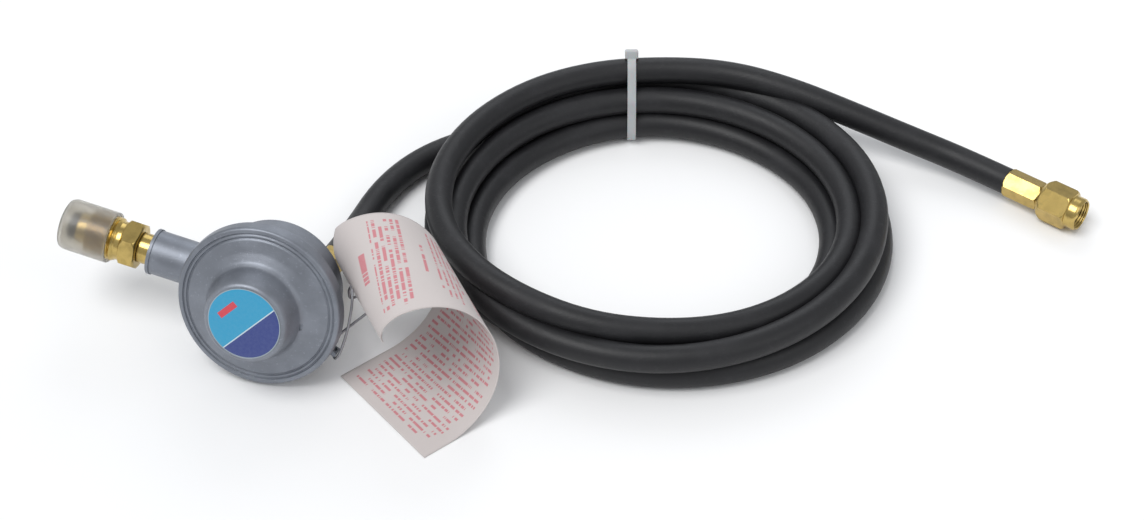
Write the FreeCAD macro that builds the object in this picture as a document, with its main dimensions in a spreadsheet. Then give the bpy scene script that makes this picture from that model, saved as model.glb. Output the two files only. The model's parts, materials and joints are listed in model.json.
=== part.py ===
import FreeCAD, Part

import math
import os
import re

import Sketcher

# A low-pressure gas regulator with its hose, lying on a table, in millimetres.
# +X runs along the set from the inlet cap to the far nut, +Y away from the front, +Z up.
# The origin is on the table, under the middle of the regulator, its inlet and its tag.
# The regulator has a frame of its own: its axis is the axis of the disc, towards the label.

SIZES = {
    # where the regulator stands
    "stand_x": -7.1, "stand_y": 3.6, "turn_deg": -15.8, "lean_deg": 18.6, "roll_deg": -7.4,
    # rim of the disc, where bonnet and casing clamp the diaphragm
    "rim_radius": 42.0, "rim_wall": 1.4, "rim_lip": 1.0, "lip_inside": 37.6, "rim_gap": 0.1,
    "flange_thick": 3.4, "rubber_thick": 1.2,
    # bonnet
    "bead_top": 3.2, "groove_depth": 0.9, "groove_width": 1.2, "step_radius": 24.5,
    "step_top": 8.0, "crown_radius": 20.6, "crown_top": 22.0, "bonnet_wall": 2.2,
    "plug_radius": 13.0, "plug_bottom": 15.6, "plug_thick": 3.6, "socket_radius": 4.0,
    "label_radius": 18.6, "label_thick": 0.3, "vent_width": 3.4, "vent_height": 1.2,
    "screen_radius": 2.6, "screen_thick": 0.4,
    # casing
    "bowl_radius": 34.0, "bowl_back": 31.5, "bowl_wall": 3.0, "boss_radius": 11.2,
    "inlet_depth": 17.4, "inlet_inner": 28.5, "inlet_rim": 63.3, "outlet_side": 15.0,
    "outlet_length": 9.5, "pipe_radius": 6.6, "pipe_length": 19.0, "passage_radius": 3.0,
    # valve and lever
    "orifice_radius": 4.0, "orifice_length": 7.5, "nozzle_radius": 1.9, "nozzle_bore": 0.9,
    "nozzle_tip": 24.0, "valve_gap": 1.0, "pad_radius": 2.8, "pad_thick": 2.0,
    "pad_proud": 0.8, "carrier_radius": 3.6, "carrier_length": 11.0, "slide_gap": 0.05,
    "guide_thick": 3.0, "pivot_side": 15.0, "pivot_drop": 5.5, "pin_radius": 1.0,
    "hub_radius": 1.7, "arm_thick": 1.6, "lever_width": 4.6, "finger_width": 3.0,
    "lug_thick": 2.0, "side_gap": 0.3, "slot_gap": 0.6,
    # diaphragm stack
    "plate_radius": 19.0, "plate_thick": 1.2, "stem_radius": 2.0, "neck_radius": 1.2,
    "collar_radius": 2.6, "collar_thick": 1.6, "collar_gap": 0.4, "stem_top": 11.4,
    "relief_nut_radius": 3.4, "relief_nut_thick": 2.4, "relief_coil": 3.3, "relief_wire": 0.9,
    "relief_turns": 4.0, "spring_coil": 9.4, "spring_wire": 2.0, "spring_turns": 3.5,
    # inlet: nipple, nut, nose and cap
    "nut_flats": 22.2, "nut_thread": 11.24, "nut_hex_start": 69.9, "nut_hex_length": 8.8,
    "nut_length": 27.4, "nut_chamfer": 1.4, "turn_gap": 0.08, "end_gap": 0.3,
    "shank_radius": 7.75, "tube_radius": 5.5, "head_radius": 7.6, "head_length": 6.8,
    "nose_radius": 7.2, "nose_length": 3.0, "nose_bore": 3.4, "bore_radius": 2.6,
    "cap_wall": 1.6, "cap_length": 26.0, "cap_start": 84.9, "cap_gap": 0.25, "cap_round": 2.6,
    # hose, barbs and ferrules
    "hose_radius": 7.1, "table_gap": 0.1, "barb_radius": 4.2, "barb_bore": 2.6,
    "barb_length": 20.0, "barb_hex_flats": 17.5, "barb_hex_length": 6.0, "ferrule_flats": 13.4,
    "ferrule_wall": 0.9, "ferrule_length": 20.0, "ferrule_gap": 0.5,
    # coil of hose and its tie
    "coil_x": 190.8, "coil_y": 88.9, "coil_outer_x": 121.3, "coil_outer_y": 108.4,
    "coil_inner_x": 85.5, "coil_inner_y": 79.8, "coil_bottom": 1.4, "coil_top": 39.0,
    "coil_round": 7.0, "tie_x": 177.4, "tie_width": 4.6, "tie_thick": 1.2, "tie_head": 7.0,
    "tie_head_thick": 5.0,
    # far end: stem, ferrule and swivel nut
    "tail_x": 374.9, "tail_y": 126.4, "tail_z": 10.6, "tail_deg": -36.5, "tail_roll": -18.2,
    "swivel_roll": -12.2, "swivel_flats": 19.05, "swivel_start": 0.7, "swivel_hex": 17.6,
    "swivel_length": 23.4, "swivel_collar": 8.9,
    "swivel_chamfer": 1.2, "swivel_thread": 7.3, "swivel_relief": 8.0, "swivel_web": 6.4,
    "neck_outer": 5.6, "flare_radius": 7.0, "flare_edge": 3.2, "flare_tip": 3.5,
    "thread_start": 14.6,
    # tag and its wire
    "wire_radius": 0.65, "ear_width": 6.0, "ear_thick": 2.4, "ear_length": 12.0, "tag_thick": 0.5,
    "tag_width": 69.7, "tag_length": 188.0, "tag_x": 30.6, "tag_y": -5.4, "tag_deg": 24.2,
    "tag_skew": 14.4, "tag_flat": 30.0, "tag_first_radius": 34.6, "tag_first_length": 90.0,
    "tag_second_radius": 27.4, "tag_second_length": 26.0, "tag_third_radius": 17.0,
    "tag_corner": 28.0, "tag_hole": 3.2, "tag_hole_inset": 8.0,
}

# The lead of the hose, from the outlet ferrule's mouth to under the coil, and the tail, from
# the top of the coil to the far ferrule's mouth. The points next to a fitting are worked out
# from the fitting's own axis.
LEAD_POINTS = [(45.6, 123.0, 7.3), (65.6, 147.6, 7.3), (92.1, 162.8, 7.3),
               (118.4, 170.4, 8.6)]
TAIL_POINTS = [(230.4, 189.4, 31.7), (262.4, 177.9, 29.6), (293.4, 165.9, 23.4),
               (324.4, 154.7, 15.8)]
LEAD_STRAIGHT, TAIL_STRAIGHT = 34.0, 28.0
# The wire loop, in the regulator's frame: down the front of the rim, through the ear and back
# up behind it.
WIRE_POINTS = [(42.6, 21.4, -5.0), (44.9, 15.5, -1.6), (45.6, 1.0, -0.6), (43.6, -14.0, -2.6),
               (39.6, -22.5, -7.9), (36.9, -12.0, -11.4), (51.5, 5.4, -25.7), (47.2, 17.4, -19.0),
               (40.4, 9.2, -14.6), (39.8, 17.5, -10.0), (41.0, 21.0, -7.8)]
WIRE_EAR = 4

doc = FreeCAD.newDocument("regulator_set")
sheet = doc.addObject("Spreadsheet::Sheet", "Dims")
for row, (alias, value) in enumerate(SIZES.items(), start=1):
    sheet.set("A%d" % row, alias)
    sheet.set("B%d" % row, str(value))
    sheet.setAlias("B%d" % row, alias)
doc.recompute()
nodes = []
V = FreeCAD.Vector


def size(alias):
    """The number in the sheet's cell of that name."""
    return float(sheet.get(alias))


def bound(text):
    """An expression on the sheet, from one written with bare aliases."""
    return re.sub(r"\b([a-z]+(?:_[a-z]+)+)\b", r"Dims.\1", text)


def bind(item, **sizes):
    for name, text in sizes.items():
        item.setExpression(name, bound(text))
    return item


def node(item, label, placement=None):
    """Keeps an object as a sub-part under its own label, at its place."""
    item.Label = label
    if placement is not None:
        item.Placement = placement
    nodes.append(item)
    return item


# ---- places -------------------------------------------------------------------------------

def axes_placement(origin, x_axis, z_axis):
    y_axis = z_axis.cross(x_axis)
    return FreeCAD.Placement(origin, FreeCAD.Rotation(x_axis, y_axis, z_axis, "ZXY"))


turned_to = FreeCAD.Rotation(V(0, 0, 1), size("turn_deg")).multiply(
    FreeCAD.Rotation(V(1, 0, 0), 90.0 - size("lean_deg"))).multiply(
    FreeCAD.Rotation(V(0, 0, 1), size("roll_deg")))
lean = math.radians(size("lean_deg"))
flange_back = size("rubber_thick") / 2 + size("flange_thick")
rim_back = flange_back + size("rim_gap") + size("rim_lip")
stand_z = size("rim_radius") * math.cos(lean) + rim_back * math.sin(lean)
REGULATOR = FreeCAD.Placement(V(size("stand_x"), size("stand_y"), stand_z), turned_to)


def on_regulator(point, x_axis, z_axis):
    """The place of a piece whose own axis z_axis is given in the regulator's frame."""
    return REGULATOR.multiply(axes_placement(V(*point), V(*x_axis), V(*z_axis)))


PIVOT = (-size("pivot_side"), 0.0, -size("inlet_depth") - size("pivot_drop"))
INLET = on_regulator((0, 0, -size("inlet_depth")), (0, 1, 0), (-1, 0, 0))
OUTLET = on_regulator((size("outlet_side"), 0, -size("bowl_back")), (1, 0, 0), (0, 0, -1))
TAIL_AXIS = V(math.cos(math.radians(size("tail_deg"))), math.sin(math.radians(size("tail_deg"))), 0)
TAIL_MOUTH = V(size("tail_x"), size("tail_y"), size("tail_z"))
TAIL = axes_placement(TAIL_MOUTH + TAIL_AXIS * size("ferrule_length"),
                      TAIL_AXIS.cross(V(0, 0, 1)), TAIL_AXIS)


# ---- builders -----------------------------------------------------------------------------

def turned(name, profile):
    """A body turned about its own Z axis from a closed outline of (radius, height)."""
    body = doc.addObject("PartDesign::Body", name)
    sketch = body.newObject("Sketcher::SketchObject", name + "_outline")
    plane = [feature for feature in body.Origin.OriginFeatures if feature.Role == "XZ_Plane"][0]
    sketch.AttachmentSupport = [(plane, "")]
    sketch.MapMode = "FlatFace"
    count = len(profile)
    for index in range(count):
        angle = 2 * math.pi * index / count
        ahead = 2 * math.pi * (index + 1) / count
        sketch.addGeometry(Part.LineSegment(V(40 + 9 * math.cos(angle), 9 * math.sin(angle), 0),
                                            V(40 + 9 * math.cos(ahead), 9 * math.sin(ahead), 0)))
    for index in range(count):
        sketch.addConstraint(Sketcher.Constraint("Coincident", index, 2, (index + 1) % count, 1))
    for index, (radius, height) in enumerate(profile):
        for kind, text, axis in (("DistanceX", radius, -2), ("DistanceY", height, -1)):
            if text == "0":
                sketch.addConstraint(Sketcher.Constraint("PointOnObject", index, 1, axis))
            else:
                number = sketch.addConstraint(Sketcher.Constraint(kind, index, 1, 1.0 + index))
                sketch.setExpression("Constraints[%d]" % number, bound(text))
    doc.recompute()
    spin = body.newObject("PartDesign::Revolution", name + "_turn")
    spin.Profile = sketch
    spin.ReferenceAxis = (sketch, ["V_Axis"])
    spin.Angle = 360.0
    body.Tip = spin
    doc.recompute()
    return body


def ring(name, outer, inner, bottom, top):
    """A turned ring, or a plain disc where the inner radius is 0."""
    return turned(name, [(inner, bottom), (outer, bottom), (outer, top), (inner, top)])


def cylinder(name, radius, height, place):
    item = doc.addObject("Part::Cylinder", name)
    bind(item, Radius=radius, Height=height)
    item.Placement = place
    return item


def block(name, x_from, x_to, y_from, y_to, z_from, z_to):
    """A box between two corners, each an expression."""
    item = doc.addObject("Part::Box", name)
    bind(item, Length="(%s) - (%s)" % (x_to, x_from), Width="(%s) - (%s)" % (y_to, y_from),
         Height="(%s) - (%s)" % (z_to, z_from))
    item.setExpression(".Placement.Base.x", bound(x_from))
    item.setExpression(".Placement.Base.y", bound(y_from))
    item.setExpression(".Placement.Base.z", bound(z_from))
    return item


def cut(name, base, tool):
    item = doc.addObject("Part::Cut", name)
    item.Base, item.Tool = base, tool
    return item


def fuse(name, *items):
    item = doc.addObject("Part::MultiFuse", name)
    item.Shapes = list(items)
    item.Refine = True
    return item


def hexed(name, profile, flats, bottom, length):
    """A turned piece cut to a hexagon, which only its widest stretch reaches."""
    prism = doc.addObject("Part::Prism", name + "_hexagon")
    prism.Polygon = 6
    bind(prism, Circumradius="%s / 1.7320508" % flats, Height=length)
    prism.setExpression(".Placement.Base.z", bound(bottom))
    item = doc.addObject("Part::Common", name)
    item.Base, item.Tool = turned(name + "_round", profile), prism
    return item


def rolled(place, alias):
    """A place turned about its own Z axis by the angle in the sheet."""
    return place.multiply(FreeCAD.Placement(V(0, 0, 0), FreeCAD.Rotation(V(0, 0, 1), size(alias))))


def coil_spring(label, coil_radius, wire, bottom, top, turns, place):
    """A helix of round wire whose ends are one wire radius inside the two heights."""
    rise = (top - bottom) - wire
    path = Part.makeHelix(rise / turns, rise, coil_radius)
    section = Part.Wire(Part.makeCircle(wire / 2, V(coil_radius, 0, 0), V(0, 1, 0)))
    item = doc.addObject("Part::Feature", label)
    item.Shape = Part.Wire(path.Edges).makePipeShell([section], True, True)
    raised = FreeCAD.Placement(V(0, 0, bottom + wire / 2), FreeCAD.Rotation())
    return node(item, label, place.multiply(raised))


def rounded_path(points):
    """Straight runs joined by tangent arcs, each as large as its two runs allow."""
    edges, radii, leaving = [], [], points[0]
    for before, here, after in zip(points, points[1:], points[2:]):
        back, ahead = before - here, after - here
        half_turn = (math.pi - back.getAngle(ahead)) / 2
        setback = 0.45 * min(back.Length, ahead.Length)
        radius = setback / math.tan(half_turn)
        back.normalize()
        ahead.normalize()
        first, last = here + back * setback, here + ahead * setback
        middle = here + (back + ahead).normalize() * (math.hypot(setback, radius) - radius)
        edges += [Part.LineSegment(leaving, first).toShape(), Part.Arc(first, middle, last).toShape()]
        radii.append(radius)
        leaving = last
    edges.append(Part.LineSegment(leaving, points[-1]).toShape())
    return Part.Wire(edges), radii


def tube(name, points, radius):
    """A round bar along a rounded path. Its volume is compared with section times length."""
    path, radii = rounded_path(points)
    section = Part.Wire(Part.makeCircle(radius, points[0], points[1] - points[0]))
    shape = path.makePipeShell([section], True, True)
    expected = math.pi * radius ** 2 * path.Length
    print("%s: length %.1f, radii %s, volume ratio %.4f"
          % (name, path.Length, ["%.0f" % value for value in radii], shape.Volume / expected))
    return shape


def feature(label, shape, place=None):
    item = doc.addObject("Part::Feature", label)
    item.Shape = shape
    return node(item, label, place)


# ---- bonnet and what it holds -------------------------------------------------------------

def make_bonnet():
    bead = "rim_radius - rim_wall"
    outline = [
        ("lip_inside", "-rubber_thick / 2 - flange_thick - rim_gap - rim_lip"),
        ("rim_radius - 0.6", "-rubber_thick / 2 - flange_thick - rim_gap - rim_lip"),
        ("rim_radius", "-rubber_thick / 2 - flange_thick - rim_gap"),
        ("rim_radius", "bead_top - 1.4"),
        ("rim_radius - 0.6", "bead_top - 0.4"),
        ("rim_radius - 1.8", "bead_top"),
        (bead + " - groove_width", "bead_top"),
        (bead + " - groove_width * 1.5", "bead_top - groove_depth"),
        (bead + " - groove_width * 2", "bead_top"),
        (bead + " - groove_width * 3", "bead_top + 0.1"),
        (bead + " - groove_width * 3.5", "bead_top - groove_depth"),
        (bead + " - groove_width * 4", "bead_top + 0.2"),
        ("step_radius", "step_top"),
        ("crown_radius", "crown_top - 1"),
        ("crown_radius - 1", "crown_top"),
        ("plug_radius", "crown_top"),
        ("plug_radius", "plug_bottom - 1.2"),
        ("crown_radius - bonnet_wall + 0.5", "plug_bottom - 3.4"),
        ("step_radius - bonnet_wall", "step_top - bonnet_wall"),
        ("bowl_radius - bowl_wall", "bead_top - bonnet_wall + 0.4"),
        ("bowl_radius - bowl_wall", "rubber_thick / 2"),
        ("rim_radius - rim_wall", "rubber_thick / 2"),
        ("rim_radius - rim_wall", "-rubber_thick / 2 - flange_thick - rim_gap"),
        ("lip_inside", "-rubber_thick / 2 - flange_thick - rim_gap"),
    ]
    shell = turned("bonnet_shell", outline)
    vent = block("bonnet_vent", "step_radius - bonnet_wall * 2", "step_radius + bonnet_wall",
                 "-vent_width / 2", "vent_width / 2", "step_top - bonnet_wall * 1.5 + 2.4",
                 "step_top - bonnet_wall * 1.5 + 2.4 + vent_height")
    node(cut("bonnet", shell, vent), "bonnet", REGULATOR)
    node(ring("label", "label_radius", "0", "crown_top", "crown_top + label_thick"), "label", REGULATOR)
    plug = turned("adjusting_plug", [
        ("0", "plug_bottom"), ("plug_radius", "plug_bottom"),
        ("plug_radius", "plug_bottom + plug_thick"),
        ("socket_radius", "plug_bottom + plug_thick"),
        ("socket_radius", "plug_bottom + plug_thick / 2"), ("0", "plug_bottom + plug_thick / 2")])
    node(plug, "adjusting_plug", REGULATOR)
    screen = ring("vent_screen", "screen_radius", "0", "0", "screen_thick")
    inside = size("step_radius") - size("bonnet_wall") - size("screen_thick") - 1.6
    height = size("step_top") - size("bonnet_wall") - size("screen_radius") - 0.4
    node(screen, "vent_screen", on_regulator((inside, 0, height + 2.2), (0, 1, 0), (1, 0, 0)))


# ---- casing -------------------------------------------------------------------------------

def make_casing():
    back = "-bowl_back"
    floor = "-bowl_back + bowl_wall"
    bowl = turned("casing_bowl", [
        ("0", back), ("bowl_radius - 4", back), ("bowl_radius - 1", back + " + 3"),
        ("bowl_radius", "-rubber_thick / 2 - flange_thick"),
        ("rim_radius - rim_wall - rim_gap", "-rubber_thick / 2 - flange_thick"),
        ("rim_radius - rim_wall - rim_gap", "-rubber_thick / 2"),
        ("bowl_radius - bowl_wall", "-rubber_thick / 2"),
        ("bowl_radius - bowl_wall - 1", floor), ("0", floor)])
    inlet = axes_placement(V(0, 0, -size("inlet_depth")), V(0, 1, 0), V(-1, 0, 0))
    boss = cylinder("inlet_boss", "boss_radius", "inlet_rim - inlet_inner",
                    inlet.multiply(FreeCAD.Placement(V(0, 0, size("inlet_inner")), FreeCAD.Rotation())))
    lip = cylinder("inlet_lip", "boss_radius + 0.5", "1.6",
                   inlet.multiply(FreeCAD.Placement(V(0, 0, size("inlet_rim") - 1.6), FreeCAD.Rotation())))
    outlet = axes_placement(V(size("outlet_side"), 0, -size("bowl_back")), V(1, 0, 0), V(0, 0, -1))
    outlet_boss = cylinder("outlet_boss", "boss_radius", "outlet_length", outlet)
    middle = "-inlet_depth"
    half_guide = "(carrier_radius + slide_gap + 2)"
    guide = block("valve_guide", "-pivot_side - 2.6 - guide_thick", "-pivot_side - 2.6",
                  "-" + half_guide, half_guide, floor + " - 0.5", middle + " + " + half_guide)
    lugs = []
    for side, name in ((-1, "left"), (1, "right")):
        near = "lever_width / 2 + side_gap"
        far = near + " + lug_thick"
        low, high = (near, far) if side > 0 else ("-(%s)" % far, "-(%s)" % near)
        lugs.append(block(name + "_lug", "-pivot_side - hub_radius", "-pivot_side + hub_radius",
                          low, high, floor + " - 0.5", middle + " - pivot_drop + hub_radius"))
    eye = (V(*WIRE_POINTS[WIRE_EAR]) + V(*WIRE_POINTS[WIRE_EAR + 1])) * 0.5
    outward = V(eye.x, eye.y, 0).normalize()
    ear = doc.addObject("Part::Box", "tag_ear")
    bind(ear, Length="ear_length", Width="ear_thick", Height="ear_width")
    corner = (outward * (eye.x / outward.x + size("wire_radius") * 2 + 1.2 - size("ear_length"))
              - V(-outward.y, outward.x, 0) * (size("ear_thick") / 2)
              + V(0, 0, eye.z - size("ear_width") / 2))
    ear.Placement = axes_placement(corner, outward, V(0, 0, 1))
    solid = fuse("casing_solid", bowl, boss, lip, outlet_boss, guide, *(lugs + [ear]))
    bore = turned("inlet_bore", [
        ("0", "inlet_inner - 3"), ("orifice_radius", "inlet_inner - 3"),
        ("orifice_radius", "inlet_inner + orifice_length"),
        ("passage_radius", "inlet_inner + orifice_length"),
        ("passage_radius", "inlet_rim - pipe_length"), ("pipe_radius", "inlet_rim - pipe_length"),
        ("pipe_radius", "inlet_rim + 1"), ("0", "inlet_rim + 1")])
    bore.Placement = inlet
    outlet_bore = turned("outlet_bore", [
        ("0", "-bowl_wall - 1"), ("passage_radius", "-bowl_wall - 1"), ("passage_radius", "0"),
        ("pipe_radius", "0"), ("pipe_radius", "outlet_length + 1"), ("0", "outlet_length + 1")])
    outlet_bore.Placement = outlet
    slide = cylinder("guide_bore", "carrier_radius + slide_gap", "guide_thick + 4",
                     inlet.multiply(FreeCAD.Placement(V(0, 0, size("pivot_side") + 0.6),
                                                      FreeCAD.Rotation())))
    pin_hole = cylinder("pin_bore", "pin_radius", "lever_width + 2 * side_gap + 2 * lug_thick + 2",
                        FreeCAD.Placement(V(*PIVOT) + V(0, size("lever_width") / 2 + size("side_gap")
                                                        + size("lug_thick") + 1, 0),
                                          FreeCAD.Rotation(V(1, 0, 0), 90)))
    run = V(*WIRE_POINTS[WIRE_EAR + 1]) - V(*WIRE_POINTS[WIRE_EAR])
    hole = cylinder("wire_hole", "wire_radius * 3.0", "ear_width * 2",
                    FreeCAD.Placement((V(*WIRE_POINTS[WIRE_EAR]) + V(*WIRE_POINTS[WIRE_EAR + 1])) * 0.5
                                      - V(run).normalize() * size("ear_width"),
                                      FreeCAD.Rotation(V(0, 0, 1), run)))
    holes = fuse("casing_holes", bore, outlet_bore, slide, pin_hole, hole)
    node(cut("casing", solid, holes), "casing", REGULATOR)


# ---- valve train --------------------------------------------------------------------------

def make_valve():
    tip = "nozzle_tip"
    orifice = turned("orifice", [
        ("nozzle_bore", tip), ("nozzle_radius", tip), ("nozzle_radius + 0.6", tip + " + 2"),
        ("orifice_radius - 1", "inlet_inner - 1.5"), ("orifice_radius", "inlet_inner - 1.5"),
        ("orifice_radius", "inlet_inner + orifice_length"),
        ("nozzle_bore", "inlet_inner + orifice_length")])
    node(orifice, "orifice", INLET)
    face = "nozzle_tip - valve_gap"
    node(ring("valve_pad", "pad_radius", "0", face + " - pad_thick", face), "valve_pad", INLET)
    front = face + " - pad_proud"
    carrier = turned("carrier_round", [
        ("0", front + " - carrier_length"), ("carrier_radius", front + " - carrier_length"),
        ("carrier_radius", front), ("pad_radius", front),
        ("pad_radius", face + " - pad_thick"), ("0", face + " - pad_thick")])
    reach = "(arm_thick / 2 + slot_gap)"
    slot = block("carrier_slot", "-finger_width / 2 - side_gap", "finger_width / 2 + side_gap",
                 "-1.6", "pivot_drop + 2", "pivot_side - " + reach, "pivot_side + " + reach)
    node(cut("valve_carrier", carrier, slot), "valve_carrier", INLET)


def make_lever():
    drop = "-inlet_depth - pivot_drop"
    width = "lever_width / 2"
    hub = cylinder("lever_hub", "hub_radius", "lever_width",
                   FreeCAD.Placement(V(*PIVOT) + V(0, size("lever_width") / 2, 0),
                                     FreeCAD.Rotation(V(1, 0, 0), 90)))
    arm = block("lever_arm", "-pivot_side", "collar_radius - 0.4", "-" + width, width,
                drop + " - arm_thick / 2", drop + " + arm_thick / 2")
    finger = block("lever_finger", "-pivot_side - arm_thick / 2", "-pivot_side + arm_thick / 2",
                   "-finger_width / 2", "finger_width / 2", drop, "-inlet_depth + 0.8")
    body = fuse("lever_solid", hub, arm, finger)
    fork = block("lever_fork", "-neck_radius - slot_gap", "collar_radius + 1",
                 "-neck_radius - side_gap", "neck_radius + side_gap", drop + " - 3", drop + " + 3")
    bore = cylinder("lever_bore", "pin_radius + slide_gap", "lever_width + 2",
                    FreeCAD.Placement(V(*PIVOT) + V(0, size("lever_width") / 2 + 1, 0),
                                      FreeCAD.Rotation(V(1, 0, 0), 90)))
    node(cut("lever", body, fuse("lever_cuts", fork, bore)), "lever", REGULATOR)
    half = size("lever_width") / 2 + size("side_gap") + size("lug_thick")
    pin = cylinder("lever_pin", "pin_radius", "lever_width + 2 * side_gap + 2 * lug_thick",
                   FreeCAD.Placement())
    place = FreeCAD.Placement(V(*PIVOT) + V(0, half, 0), FreeCAD.Rotation(V(1, 0, 0), 90))
    node(pin, "lever_pin", REGULATOR.multiply(place))


def make_diaphragm_stack():
    top = "rubber_thick / 2"
    node(ring("diaphragm", "rim_radius - rim_wall - rim_gap", "stem_radius + 0.5",
              "-" + top, top), "diaphragm", REGULATOR)
    node(ring("diaphragm_plate", "plate_radius", "stem_radius + slide_gap", top,
              top + " + plate_thick"), "diaphragm_plate", REGULATOR)
    arm = "-inlet_depth - pivot_drop"
    upper = arm + " + arm_thick / 2 + collar_gap"
    lower = arm + " - arm_thick / 2 - collar_gap"
    stem = turned("diaphragm_stem", [
        ("0", lower + " - collar_thick"), ("collar_radius", lower + " - collar_thick"),
        ("collar_radius", lower), ("neck_radius", lower), ("neck_radius", upper),
        ("collar_radius", upper), ("collar_radius", upper + " + collar_thick"),
        ("stem_radius", upper + " + collar_thick"), ("stem_radius", "stem_top"), ("0", "stem_top")])
    node(stem, "diaphragm_stem", REGULATOR)
    node(ring("relief_nut", "relief_nut_radius", "stem_radius", "stem_top - relief_nut_thick - 0.6",
              "stem_top - 0.6"), "relief_nut", REGULATOR)
    plate_top = size("rubber_thick") / 2 + size("plate_thick")
    coil_spring("relief_spring", size("relief_coil"), size("relief_wire"), plate_top,
                size("stem_top") - 0.6 - size("relief_nut_thick"), size("relief_turns"), REGULATOR)
    coil_spring("main_spring", size("spring_coil"), size("spring_wire"), plate_top,
                size("plug_bottom"), size("spring_turns"), REGULATOR)


# ---- inlet --------------------------------------------------------------------------------

def make_inlet():
    nut_end = "nut_hex_start + nut_length"
    head = nut_end + " + end_gap"
    nose = head + " + head_length"
    nipple = turned("inlet_nipple", [
        ("bore_radius", "inlet_rim - pipe_length"), ("pipe_radius", "inlet_rim - pipe_length"),
        ("pipe_radius", "inlet_rim"), ("shank_radius", "inlet_rim"),
        ("shank_radius", "nut_hex_start - end_gap"), ("tube_radius", "nut_hex_start - end_gap"),
        ("tube_radius", head), ("head_radius", head), ("head_radius", nose + " - 2"),
        ("nose_bore + 1.2", nose), ("nose_bore + 1.2", nose + " + nose_length - 1"),
        ("bore_radius", nose + " + nose_length - 1")])
    node(nipple, "inlet_nipple", INLET)
    seal = turned("nose_seal", [
        ("nose_bore + 1.2", nose), ("nose_radius", nose), ("nose_radius", nose + " + nose_length - 1"),
        ("nose_radius - 1", nose + " + nose_length"), ("nose_bore", nose + " + nose_length"),
        ("nose_bore", nose + " + nose_length - 1"), ("nose_bore + 1.2", nose + " + nose_length - 1")])
    node(seal, "nose_seal", INLET)
    corner = "nut_flats / 1.7320508"
    nut = hexed("inlet_nut", [
        ("tube_radius + turn_gap", "nut_hex_start"),
        (corner + " - nut_chamfer", "nut_hex_start"), (corner, "nut_hex_start + nut_chamfer"),
        (corner, "nut_hex_start + nut_hex_length - nut_chamfer"),
        (corner + " - nut_chamfer * 1.6", "nut_hex_start + nut_hex_length"),
        ("nut_thread - 1.2", "nut_hex_start + nut_hex_length"),
        ("nut_thread - 1.2", "nut_hex_start + nut_hex_length + 1.6"),
        ("nut_thread", "nut_hex_start + nut_hex_length + 2.8"), ("nut_thread", nut_end + " - 1.2"),
        ("nut_thread - 1.2", nut_end), ("tube_radius + turn_gap", nut_end)],
        "nut_flats + 0.4", "nut_hex_start - 1", "nut_length + 2")
    node(nut, "inlet_nut", INLET)
    inner = "(nut_thread + cap_gap)"
    outer = "(nut_thread + cap_gap + cap_wall)"
    end = "cap_start + cap_length"
    cap = turned("dust_cap", [
        (inner, "cap_start"), (outer + " - 0.4", "cap_start"), (outer, "cap_start + 0.6"),
        (outer, end + " - cap_round"), (outer + " - cap_round * 0.3", end + " - cap_round * 0.3"),
        (outer + " - cap_round", end), ("0", end), ("0", end + " - cap_wall"),
        (inner + " - 0.6", end + " - cap_wall"), (inner, end + " - cap_wall - 1.2")])
    node(cap, "dust_cap", INLET)


# ---- hose, its fittings and its tie -------------------------------------------------------

def barb(name, start, length):
    """The outline of a barbed stem from its root to its tip: four saw teeth."""
    pitch = "(%s) / 4" % length
    outline = []
    for tooth in range(4):
        foot = "%s + %s * %d" % (start, pitch, tooth)
        outline += [("barb_radius", foot), ("barb_radius - 0.7", foot + " + " + pitch)]
    return outline


def make_outlet():
    hexagon = "outlet_length + barb_hex_length"
    corner = "barb_hex_flats / 1.7320508"
    fitting = turned("outlet_barb_round", [
        ("barb_bore", "1"), ("pipe_radius", "1"), ("pipe_radius", "outlet_length"),
        (corner + " - 1", "outlet_length"), (corner, "outlet_length + 1"),
        (corner, hexagon + " - 1"), (corner + " - 1", hexagon)]
        + barb("outlet_barb", hexagon, "barb_length") + [("barb_bore", hexagon + " + barb_length")])
    prism = doc.addObject("Part::Prism", "outlet_hexagon")
    prism.Polygon = 6
    bind(prism, Circumradius=corner, Height="outlet_length + barb_hex_length + barb_length + 4")
    item = doc.addObject("Part::Common", "outlet_barb")
    item.Base, item.Tool = fitting, prism
    node(item, "outlet_barb", OUTLET)
    mouth = hexagon + " + ferrule_gap"
    far = mouth + " + ferrule_length"
    ferrule(mouth, far, "outlet_ferrule", OUTLET)


def ferrule(bottom, top, label, place):
    """A crimped sleeve: hexagonal outside, round inside."""
    corner, hole = "ferrule_flats / 1.7320508", "ferrule_flats / 2 - ferrule_wall"
    outline = [(hole, bottom), (corner + " - 0.6", bottom), (corner, bottom + " + 0.6"),
               (corner, top + " - 0.6"), (corner + " - 0.6", top), (hole, top)]
    sleeve = hexed(label, outline, "ferrule_flats", bottom + " - 1", "ferrule_length + 2")
    node(sleeve, label, place)


def hose_end(place, bottom, top):
    """The stretch of hose between a ferrule and the barb inside it."""
    outer = size("ferrule_flats") / 2 - size("ferrule_wall")
    sleeve = Part.makeCylinder(outer, top - bottom).cut(
        Part.makeCylinder(size("barb_radius"), top - bottom))
    sleeve.translate(V(0, 0, bottom))
    sleeve.Placement = place.multiply(sleeve.Placement)
    return sleeve


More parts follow.
